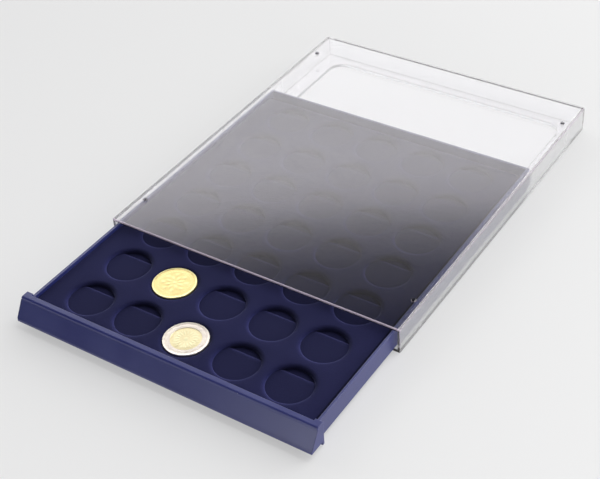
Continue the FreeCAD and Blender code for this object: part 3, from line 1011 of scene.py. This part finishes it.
# %% Margins, skirt and thickness
SKIRT_ROLL = 1.3 * MM
CORNER_ROLL = 2.0 * MM
SHARP_TURN = math.radians(60)
TINY = 0.01 * MM
SHEET_SMOOTH = 36.0


def pulled_out(form, edges):
    """The new vertices of a strip that is pulled out of these edges."""
    strip = bmesh.ops.extrude_edge_only(form, edges=edges)["geom"]
    return [item for item in strip if isinstance(item, bmesh.types.BMVert)]


def sharp_edges(form):
    """The edges where two faces of the sheet meet at a sharp turn."""
    return [edge for edge in form.edges
            if len(edge.link_faces) == 2 and edge.calc_face_angle() > SHARP_TURN]


def roll(form, edges, width, steps):
    """A rolled edge of this width along these edges."""
    bmesh.ops.bevel(form, geom=edges, offset=width, segments=steps, profile=0.5,
                    affect="EDGES", clamp_overlap=True)


def finish_sheet(piece):
    """Side margins and a turned-down skirt round the sheet, then its thickness."""
    form = opened(piece.data)
    for vert in form.verts:
        vert.co.y = min(max(vert.co.y, TRAY_LOW.y), TRAY_HIGH.y)
    for side in (TRAY_LOW.x, TRAY_HIGH.x):
        reach = math.copysign(COLUMNS * PITCH_ACROSS / 2, side)
        border = [edge for edge in form.edges if edge.is_boundary
                  and all(abs(vert.co.x - reach) < TINY for vert in edge.verts)]
        for vert in pulled_out(form, border):
            vert.co.x = side
    for vert in pulled_out(form, [edge for edge in form.edges if edge.is_boundary]):
        vert.co.z = TRAY_LOW.z
    bmesh.ops.recalc_face_normals(form, faces=form.faces)
    upright = [edge for edge in sharp_edges(form)
               if abs(edge.verts[0].co.z - edge.verts[1].co.z) > SHEET_THICK
               and abs(abs(edge.verts[0].co.x) - TRAY_HIGH.x) < TINY]
    roll(form, upright, CORNER_ROLL, 4)
    brim = [edge for edge in sharp_edges(form)
            if all(abs(vert.co.z - TRAY_HIGH.z) < TINY for vert in edge.verts)]
    roll(form, brim, SKIRT_ROLL, 3)
    face_up(form)
    closed(form, piece.data)
    wall = piece.modifiers.new("sheet", "SOLIDIFY")
    wall.thickness = SHEET_THICK
    wall.offset = -1.0
    soften(frozen(piece), SHEET_SMOOTH)


finish_sheet(tray)
hand_over(tray, "drawer", "tray_flock", "coin_tray")


# %% [markdown]
# ## The coins
#
# A coin is struck between two dies, so both faces are low relief inside a raised rim. The
# relief here is a plain ornament: petals, rays and a running wave. The face is a fine polar
# net whose height follows a rule, and the beads that go round it are set out by Geometry
# Nodes. In each rule, places are shares of the outer radius and heights go from 0 to 1.

# %% A polar net with relief
SPOKES = 240
REEDS = 120
REED_DEPTH = 0.05 * MM
EDGE_ROLL = 0.12 * MM


def wave(value):
    """A smooth hill: 1 in the middle of each turn, 0 halfway between."""
    return 0.5 + 0.5 * math.cos(value)


def hump(value, middle, width):
    """A smooth hill of height 1 over a stretch, and 0 outside it."""
    share = abs(value - middle) / width
    return 0.0 if share >= 1.0 else (1.0 - share * share) ** 2


def rosette(radius, angle, outer):
    """Ornament of the gold coin: a boss, two rings of petals and a plain line."""
    share = radius / outer
    petals = wave(8 * angle) ** 1.5 * hump(share, 0.30, 0.20)
    leaves = wave(8 * angle + math.pi) ** 2 * hump(share, 0.52, 0.17)
    wreath = wave(40 * angle) * hump(share, 0.72, 0.06)
    boss = hump(share, 0.0, 0.12)
    return max(petals, leaves, 0.7 * wreath, boss, 0.6 * hump(share, 0.63, 0.015))


def sunburst(radius, angle, outer):
    """Ornament of the core: a boss and sixteen rays."""
    share = radius / outer
    rays = wave(16 * angle) ** 2 * hump(share, 0.56, 0.30)
    darts = wave(16 * angle + math.pi) ** 4 * hump(share, 0.74, 0.16)
    return max(rays, darts, hump(share, 0.0, 0.22), 0.6 * hump(share, 0.27, 0.03))


def scrolls(radius, angle, outer):
    """Ornament of the ring: a running wave between two lines."""
    share = radius / outer
    middle = 0.795 + 0.035 * math.sin(16 * angle)
    line = hump(share, middle, 0.03)
    dots = wave(16 * angle - math.pi / 2) ** 6 * hump(share, 0.755, 0.035)
    return max(line, dots)


# %% [markdown]
# A coin is a stack of rings of vertices: from the middle of its upper face outwards, down the
# reeded edge, and back over the lower face. The ring of the two-metal coin starts at the core
# instead, and is joined to itself there. A bump would be cheaper than this relief, but a mesh
# keeps it in every viewer.

# %% Strike a coin
COIN_RELIEF = 0.06 * MM
STRUCK = 0.8
NET_STEP = 0.42 * MM
RIM_SLOPE = 0.18 * MM
RIM_MARGIN = 0.3 * MM
COIN_SMOOTH = 40.0


def coin_rings(inner, outer, rim):
    """Radii of the net from the middle outwards, with close ones at the rim's step."""
    count = max(8, int((outer - inner) / NET_STEP))
    rings = [inner + (outer - inner) * index / count for index in range(count + 1)]
    if rim:
        step = outer - rim
        rings = [radius for radius in rings if radius < step - RIM_MARGIN]
        rings += [step - RIM_SLOPE, step, outer - EDGE_ROLL]
    return rings


def lay_ring(form, relief, shape):
    """A ring of vertices; shape gives the radius, height and relief at each angle."""
    ring = []
    for spoke in range(SPOKES):
        angle = math.tau * spoke / SPOKES
        radius, height, raised = shape(angle)
        vert = form.verts.new((radius * math.cos(angle), radius * math.sin(angle), height))
        vert[relief] = raised
        ring.append(vert)
    return ring


def strike(name, node, inner, outer, rim, ornament, finish):
    """A closed disc or ring with the ornament on both faces and a reeded edge."""
    low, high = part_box(node)
    half = (high.z - low.z) / 2
    field = half - COIN_RELIEF if rim else half
    ground = 0.0 if rim else STRUCK
    form = bmesh.new()
    relief = form.verts.layers.float.new("relief")

    def face_ring(radius, sign):
        """A ring of one face: raised in full on the rim, by the ornament inside it."""
        def shape(angle):
            raised = STRUCK * ornament(radius, angle, outer)
            if rim and radius > outer - rim - TINY:
                raised = 1.0
            return radius, sign * (field + COIN_RELIEF * (raised - ground)), raised
        return lay_ring(form, relief, shape)

    def reed_ring(height):
        """A ring of the reeded edge."""
        def shape(angle):
            return outer - REED_DEPTH * (1.0 - wave(REEDS * angle)), height, STRUCK
        return lay_ring(form, relief, shape)

    radii = coin_rings(inner, outer, rim)
    top = [face_ring(radius, 1.0) for radius in radii]
    bottom = [face_ring(radius, -1.0) for radius in radii]
    side = [reed_ring(height) for height in (half - EDGE_ROLL, EDGE_ROLL - half)] if rim else []
    loops = top + side + bottom[::-1]
    if inner > 0:
        loops.append(top[0])
    for first, second in zip(loops, loops[1:]):
        for spoke in range(SPOKES):
            after = (spoke + 1) % SPOKES
            form.faces.new((first[spoke], second[spoke], second[after], first[after]))
    bmesh.ops.remove_doubles(form, verts=form.verts, dist=WELD)
    bmesh.ops.recalc_face_normals(form, faces=form.faces)
    bmesh.ops.translate(form, verts=form.verts, vec=(low + high) / 2)
    piece = show(name, closed(form, bpy.data.meshes.new(name)), finish)
    soften(piece, COIN_SMOOTH)
    return piece


COIN_RADIUS = 15.4 * MM
CORE_RADIUS = 10.5 * MM
COIN_RIM = 1.1 * MM

gold_coin = strike("gold_coin_struck", "gold_coin", 0.0, COIN_RADIUS, COIN_RIM, rosette, GOLD)
ring_coin = strike("two_metal_ring", "bimetal_coin_ring", CORE_RADIUS, COIN_RADIUS, COIN_RIM,
                   scrolls, SILVER)
core_coin = strike("two_metal_core", "bimetal_coin_core", 0.0, CORE_RADIUS, 0.0, sunburst,
                   CORE_GOLD)
print("struck", [coin.name for coin in (gold_coin, ring_coin, core_coin)])


# %% [markdown]
# ### Beads round the coins
#
# The beaded border of a coin is punched into the die bead by bead. Here it is one flat bead
# that Geometry Nodes set on the points of a circle, on both faces. The rule of the face could
# raise the beads too, but the net would need to be several times as fine to keep them round.


# %% Bead the borders
BEAD = 0.30 * MM
BEAD_FLATTEN = (1.0, 1.0, 0.55)


def bead_tree():
    """Beads on a circle above and below, joined to the coin that comes in."""
    tree, places = geometry_tree("bead_border", {
        "Coin": "Geometry", "Radius": "Float", "Count": "Int", "Bead": "Float",
        "Centre": "Vector", "Lift": "Float", "Finish": "Material"})
    given = add(tree, "NodeGroupInput").outputs
    circle = add(tree, "GeometryNodeMeshCircle",
                 {"Vertices": given["Count"], "Radius": given["Radius"]})
    bead = add(tree, "GeometryNodeMeshIcoSphere", {"Radius": given["Bead"], "Subdivisions": 2})
    parts = [given["Coin"]]
    for sign in (1.0, -1.0):
        lift = add(tree, "ShaderNodeCombineXYZ", {2: times(tree, given["Lift"], sign)})
        centre = add(tree, "ShaderNodeVectorMath", {0: given["Centre"], 1: lift.outputs[0]},
                     operation="ADD")
        raised = add(tree, "GeometryNodeTransform",
                     {"Geometry": circle.outputs[0], "Translation": centre.outputs[0]})
        copies = add(tree, "GeometryNodeInstanceOnPoints",
                     {"Points": raised.outputs[0], "Instance": bead.outputs["Mesh"],
                      "Scale": BEAD_FLATTEN})
        parts.append(copies.outputs[0])
    joined = add(tree, "GeometryNodeJoinGeometry")
    for part in parts:
        tree.links.new(part, joined.inputs[0])
    real = add(tree, "GeometryNodeRealizeInstances", {0: joined.outputs[0]})
    dressed = add(tree, "GeometryNodeSetMaterial",
                  {"Geometry": real.outputs[0], "Material": given["Finish"]})
    add(tree, "NodeGroupOutput", {0: dressed.outputs[0]})
    return tree, places


beading, bead_places = bead_tree()


def bead_coin(piece, node, radius, count, finish):
    """The border of beads on one coin."""
    low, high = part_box(node)
    run_tree(piece, beading, bead_places, Radius=radius, Count=count, Bead=BEAD,
             Centre=tuple((low + high) / 2), Lift=(high.z - low.z) / 2 - COIN_RELIEF,
             Finish=finish)
    soften(piece, COIN_SMOOTH)


bead_coin(gold_coin, "gold_coin", COIN_RADIUS - COIN_RIM - 0.55 * MM, 84, GOLD)
bead_coin(ring_coin, "bimetal_coin_ring", COIN_RADIUS - COIN_RIM - 0.45 * MM, 90, SILVER)
hand_over(gold_coin, "gold_coin", "coin_gold", "gold_coin")
hand_over(ring_coin, "bimetal_coin", "coin_silver", "bimetal_coin_ring")
hand_over(core_coin, "bimetal_coin", "coin_core_gold", "bimetal_coin_core")
